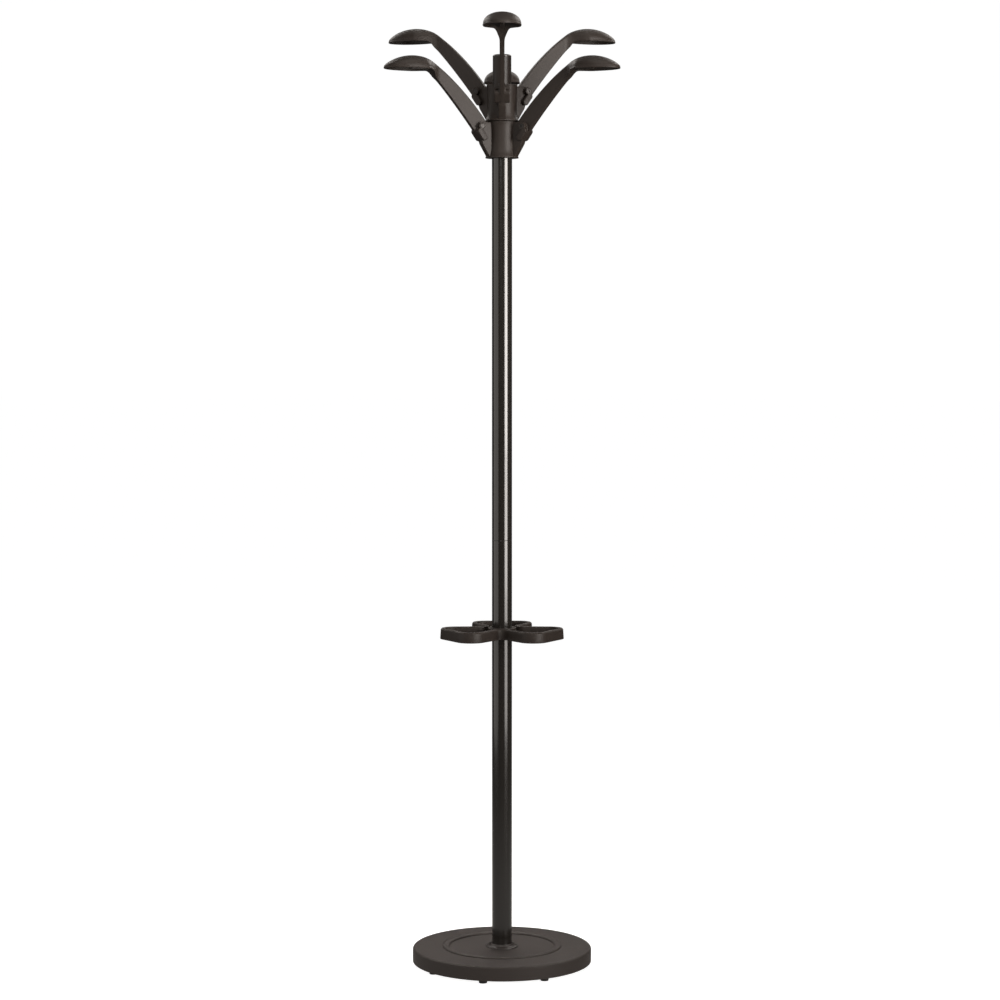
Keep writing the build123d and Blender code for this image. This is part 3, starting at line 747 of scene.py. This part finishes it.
def arm_skin():
    """Right half from the crown's middle to the underside's middle, then its mirror image."""
    blade_y, blade_z = blade_side()
    cap_y, cap_z = cap_side(blade_y.shape[1])
    low_blade_y, low_blade_z = blade_underside()
    low_cap_y, low_cap_z = cap_underside()
    y = np.concatenate([blended(blade_y, cap_y), blended(low_blade_y, low_cap_y)], axis=1)
    z = np.concatenate([blended(blade_z, cap_z), blended(low_blade_z, low_cap_z)], axis=1)
    y, z = np.concatenate([y, -y[:, -2:0:-1]], axis=1), np.concatenate([z, z[:, -2:0:-1]], axis=1)
    return skin(np.stack([reach + 0 * y, y, z], -1), open_ends=False)


def cap_rib():
    """The web under the cap: the blade's lower edge carried on as a thin rib to the cap's middle."""
    outline = rounded([(150, 158), (196, 158), (196, 172), (150, 168)], [1, 2, 0.5, 0.5])
    return slab(outline, -RIB_HALF, RIB_HALF, RIB_BEVEL)


arm_shells = [arm_skin(), cap_rib()]
LOWER = {"right": -30, "left": -150, "back": 90}
UPPER = {"front": -90, "right": 30, "left": 150}
for tier, places in {"lower": LOWER, "upper": UPPER}.items():
    hub_foot = foot(f"{tier}_hub")
    for place, angle in places.items():
        shells = [swung(shell, angle, hub_foot) for shell in arm_shells]
        build(f"{tier}_peg_{place}", shells, "satin_plastic", f"{tier}_head", f"{tier}_arm_{place}")

# %% [markdown]
# ## Hubs
# A hub is a waisted barrel with three lugs. Each lug is a gusset that carries the arm's root, a short
# rounded bar under it and a round boss for the cross screw. The barrel is turned, the lugs are plates
# with rolled edges, and the screw's boss has a recess that its head sinks into.

# %% Hubs
HUB_HEIGHT = top("lower_hub") - foot("lower_hub")
BORE, SOCKET, CLIP_SEAT = post_radius + 0.06, tube_radius + 0.3, post_radius + 3.3
LUG = [(20, 0.6), (30.6, 1.6), (45.4, 25), (47.5, 31), (56, 44), (59, 50), (57.5, 60), (52, 66.5), (20, 66.5)]
TONGUE_ENDS, TONGUE_ROUND, LUG_HALF = ((53.0, 48.5), (44.5, 37.0)), 6.0, 14.5
SCREW_AT, BOSS_RADIUS, RECESS_RADIUS, RECESS_DEPTH = (50.0, 58.0), 6.6, 4.45, 2.9
WAIST_WALL, FOOT_FLARE, TOP_FLARE, TOP_ROUND = 8.5, 3.8, 1.9, 0.8
FOOT_EDGE, TOP_EDGE, SOCKET_DEPTH, SEAT_DEPTH = 1.4, 1.0, 4, 4
GUSSET_HALF, GUSSET_BEVEL, TONGUE_BEVEL = 6.8, 1.2, 1.8


def barrel():
    """Flared foot, waist and top as one smooth line; bore and end sockets inside."""
    height = np.linspace(FOOT_EDGE, HUB_HEIGHT - TOP_EDGE, 40)
    flare = FOOT_FLARE * np.exp(-(((height - FOOT_EDGE) / 7.0) ** 1.3))
    flare += TOP_FLARE * np.exp(-((HUB_HEIGHT - TOP_EDGE - height) / 8.0))
    line = tube_radius + WAIST_WALL + flare
    outside = np.stack([line, height], 1)
    lip = rounded([(SOCKET, 0), (line[0], 0), outside[0], (BORE, 2)], [0, 0.5, 0, 0], 4)[4:9]
    quarter = np.linspace(0, np.pi / 2, 5)
    crown = line[-1] - TOP_ROUND + TOP_ROUND * np.cos(quarter)
    crown_z = HUB_HEIGHT - TOP_ROUND + TOP_ROUND * np.sin(quarter)
    inside = [
        (CLIP_SEAT, HUB_HEIGHT),
        (CLIP_SEAT, HUB_HEIGHT - SEAT_DEPTH),
        (BORE, HUB_HEIGHT - SEAT_DEPTH),
        (BORE, SOCKET_DEPTH),
        (SOCKET, SOCKET_DEPTH),
        (SOCKET, 0),
    ]
    return turned(np.concatenate([lip, outside, np.stack([crown, crown_z], 1), inside]), 128)


def stadium(first, second, radius, steps=14):
    """Outline of a bar with round ends: two half circles round its end points."""
    along = np.array(first) - np.array(second)
    turn = math.atan2(along[1], along[0]) + np.linspace(-np.pi / 2, np.pi / 2, steps)
    arc = radius * np.stack([np.cos(turn), np.sin(turn)], 1)
    return np.concatenate([np.array(first) + arc, np.array(second) - arc])


def boss(side):
    """Turned boss of the cross screw, standing on one face of the lug, with a recess for the head."""
    recess = LUG_HALF - RECESS_DEPTH
    profile = rounded(
        [
            (0, 3),
            (BOSS_RADIUS, 3),
            (BOSS_RADIUS, LUG_HALF),
            (RECESS_RADIUS, LUG_HALF),
            (RECESS_RADIUS, recess),
            (0, recess),
        ],
        [0, 0.2, 0.7, 0.3, 0.2, 0],
    )
    points, faces = turned(profile, 40)
    across, upward, along = points.T
    return np.stack([SCREW_AT[0] + across, side * along, SCREW_AT[1] + upward], -1), faces


def lug():
    """Gusset, bar and two bosses of one arm's seat, in the plane of that arm."""
    gusset_outline = rounded(LUG, [0, 3, 5, 4, 4, 4, 3, 3, 0], 5)
    gusset = slab(gusset_outline, -GUSSET_HALF, GUSSET_HALF, GUSSET_BEVEL)
    tongue = slab(stadium(*TONGUE_ENDS, TONGUE_ROUND), -LUG_HALF, LUG_HALF, TONGUE_BEVEL, 6)
    return [gusset, tongue, boss(1), boss(-1)]


for tier, angles in {"lower": LOWER, "upper": UPPER}.items():
    height = foot(f"{tier}_hub")
    shells = [swung(barrel(), 0, height)]
    shells += [swung(shell, angle, height) for angle in angles.values() for shell in lug()]
    build(f"{tier}_hub_shell", shells, "satin_plastic", f"{tier}_head", f"{tier}_hub")

# %% [markdown]
# ## Umbrella holder
# One bar runs round all three loops and dips towards the tube between them. Its section is carried along
# that outline: a light chamfer on top, a face that leans out a little, and a plain inner wall. A collar
# holds the bar to the tube, with a small boss in front for the clamp screw.

# %% Umbrella holder
holder_top, holder_foot = top("umbrella_holder"), foot("umbrella_holder")
REACH, LOBE_HALF, VALLEY = 112.7, 57.8, 30.0
CORNER_ROUND, VALLEY_ROUND, BAR, DRAFT = 28.0, 12.0, 8.5, 1.1
CHAMFER, CHAMFER_DROP, SLEEVE_WALL, SLEEVE_GAP, SLEEVE_DROP = 1.9, 2.4, 8, 0.06, 0.4
CLAMP_RADIUS, CLAMP_ROOT, CLAMP_FACE, CLAMP_RECESS, SCREW_RADIUS = 6, 21, 33, 31, 3.0


def lobes():
    """Outline of three lobes: valley and two outer corners per lobe, all rounded by arcs.

    The side of a lobe is the line from the valley that just touches the corner's circle: its angle
    is that of the centre plus asin(radius / distance)."""
    valley = np.array([VALLEY * math.cos(math.pi / 3), VALLEY * math.sin(math.pi / 3)])
    centre = np.array([REACH - CORNER_ROUND, LOBE_HALF - CORNER_ROUND])
    across = centre - valley
    angle = math.atan2(across[1], across[0]) + math.asin(CORNER_ROUND / np.linalg.norm(across))
    corner = valley + np.array([1.0, math.tan(angle)]) * (REACH - valley[0])
    one = np.array([[corner[0], -corner[1]], corner, valley])
    turns = np.radians(sorted(LOWER.values()))
    cos, sin = np.cos(turns)[:, None], np.sin(turns)[:, None]
    x, y = one[:, 0], one[:, 1]
    outline = np.stack([x * cos - y * sin, x * sin + y * cos], -1).reshape(-1, 2)
    return rounded(outline, np.tile([CORNER_ROUND, CORNER_ROUND, VALLEY_ROUND], 3), 18)


def carried(outline, section):
    """A closed section of (inset, height) points carried round a closed flat outline.

    Each point moves inwards by its inset along the outline's normal."""
    chord = np.roll(outline, -1, axis=0) - np.roll(outline, 1, axis=0)
    chord /= np.linalg.norm(chord, axis=1, keepdims=True)
    inward = np.stack([-chord[:, 1], chord[:, 0]], 1)
    flat = outline[:, None] + inward[:, None] * section[:, 0][None, :, None]
    grid = np.concatenate([flat, np.broadcast_to(section[:, 1][None, :, None], (*flat.shape[:2], 1))], -1)
    return band(grid)


bar_section = rounded(
    [
        (-DRAFT, holder_foot),
        (BAR, holder_foot),
        (BAR, holder_top),
        (CHAMFER, holder_top),
        (0, holder_top - CHAMFER_DROP),
    ],
    [1.0, 0.8, 0.8, 0.8, 1.0],
    4,
)
sleeve_bore, sleeve_side = tube_radius + SLEEVE_GAP, tube_radius + SLEEVE_WALL
sleeve_top = holder_top - SLEEVE_DROP
sleeve_profile = rounded(
    [
        (sleeve_bore, holder_foot),
        (sleeve_side, holder_foot),
        (sleeve_side, sleeve_top),
        (sleeve_bore, sleeve_top),
    ],
    [0.3, 0.6, 1.0, 0.3],
)
screw_hole = SCREW_RADIUS + 0.05
clamp_profile = rounded(
    [
        (0, CLAMP_ROOT),
        (CLAMP_RADIUS, CLAMP_ROOT),
        (CLAMP_RADIUS, CLAMP_FACE),
        (screw_hole, CLAMP_FACE),
        (screw_hole, CLAMP_RECESS),
        (0, CLAMP_RECESS),
    ],
    [0, 0, 0.8, 0.2, 0, 0],
)
clamp_points, clamp_faces = turned(clamp_profile, 40)
across, upward, along = clamp_points.T
clamp_height = foot("holder_screw") + SCREW_RADIUS
clamp = (np.stack([across, -along, clamp_height + upward], -1), clamp_faces)
holder_shells = [carried(lobes(), bar_section), turned(sleeve_profile), clamp]
build("holder_loops", holder_shells, "satin_plastic", "umbrella_ring", "umbrella_holder")
